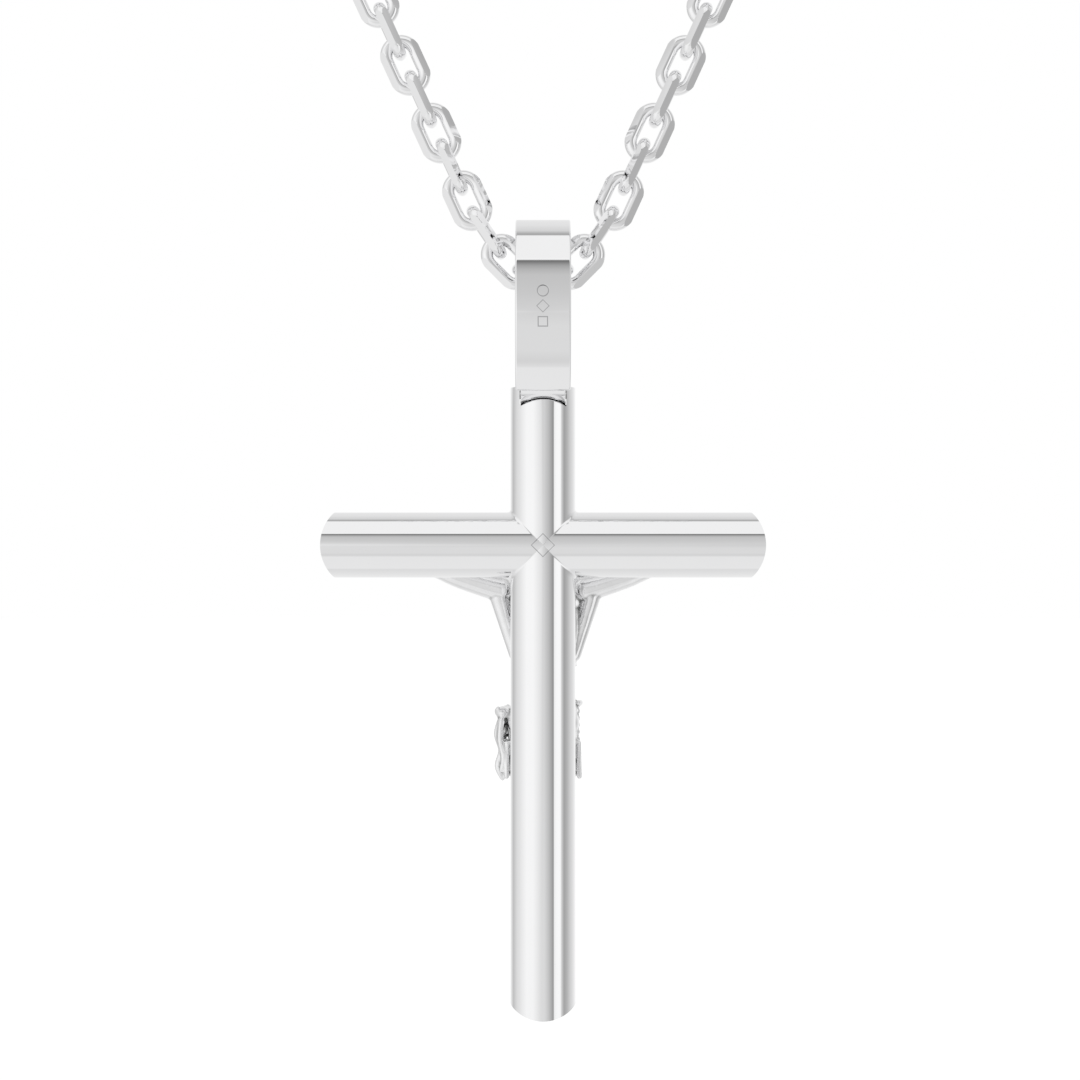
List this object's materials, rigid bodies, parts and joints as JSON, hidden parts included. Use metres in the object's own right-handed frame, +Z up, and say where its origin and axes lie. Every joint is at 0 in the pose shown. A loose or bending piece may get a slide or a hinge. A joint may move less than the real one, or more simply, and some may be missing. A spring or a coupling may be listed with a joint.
{
  "type": "crucifix pendant on a chain",
  "caption": "Polished silver crucifix pendant: round bars, cast figure, hinged strap bail and the lower stretch of its anchor chain.",
  "frame": {"origin": "halfway between the centres of the two end rings that hold the chain", "axes": "+Z up, +X to the right seen from the back of the cross, +Y out of the face that carries the figure"},
  "size_m": [0.0308, 0.0109, 0.0751],
  "materials": {
    "polished_silver": "mirror-polished rhodium-plated silver",
    "cast_silver": "cast silver, polished on the high places, softer in the folds",
    "chain_silver": "polished wire with diamond-cut flat sides"
  },
  "bodies": {
    "end_rings": {"end_ring_left": "chain_silver", "end_ring_right": "chain_silver"},
    "chain": {"chain_link_00": "chain_silver", "chain_link_left_01": "chain_silver", "chain_link_left_02": "chain_silver", "chain_link_left_03": "chain_silver", "chain_link_left_04": "chain_silver", "chain_link_left_05": "chain_silver", "chain_link_left_06": "chain_silver", "chain_link_left_07": "chain_silver", "chain_link_left_08": "chain_silver", "chain_link_left_09": "chain_silver", "chain_link_right_01": "chain_silver", "chain_link_right_02": "chain_silver", "chain_link_right_03": "chain_silver", "chain_link_right_04": "chain_silver", "chain_link_right_05": "chain_silver", "chain_link_right_06": "chain_silver", "chain_link_right_07": "chain_silver", "chain_link_right_08": "chain_silver", "chain_link_right_09": "chain_silver"},
    "bail": {"bail": "polished_silver"},
    "cross": {"upright": "polished_silver", "left_arm": "polished_silver", "right_arm": "polished_silver", "bail_pin": "polished_silver", "corpus": "cast_silver", "hand_nail_left": "polished_silver", "hand_nail_right": "polished_silver", "foot_nail": "polished_silver"}
  },
  "joints": [
    {"name": "chain_swing", "type": "hinge", "parent": "end_rings", "child": "chain", "pos_m": [0, 0, 0], "axis": [1, 0, 0], "range_deg": [-60, 60]},
    {"name": "bail_swing", "type": "hinge", "parent": "chain", "child": "bail", "pos_m": [0, 0, -0.01967], "axis": [1, 0, 0], "range_deg": [-40, 40]},
    {"name": "cross_rock", "type": "hinge", "parent": "bail", "child": "cross", "pos_m": [0, 0, -0.02735], "axis": [1, 0, 0], "range_deg": [-9, 9]}
  ]
}
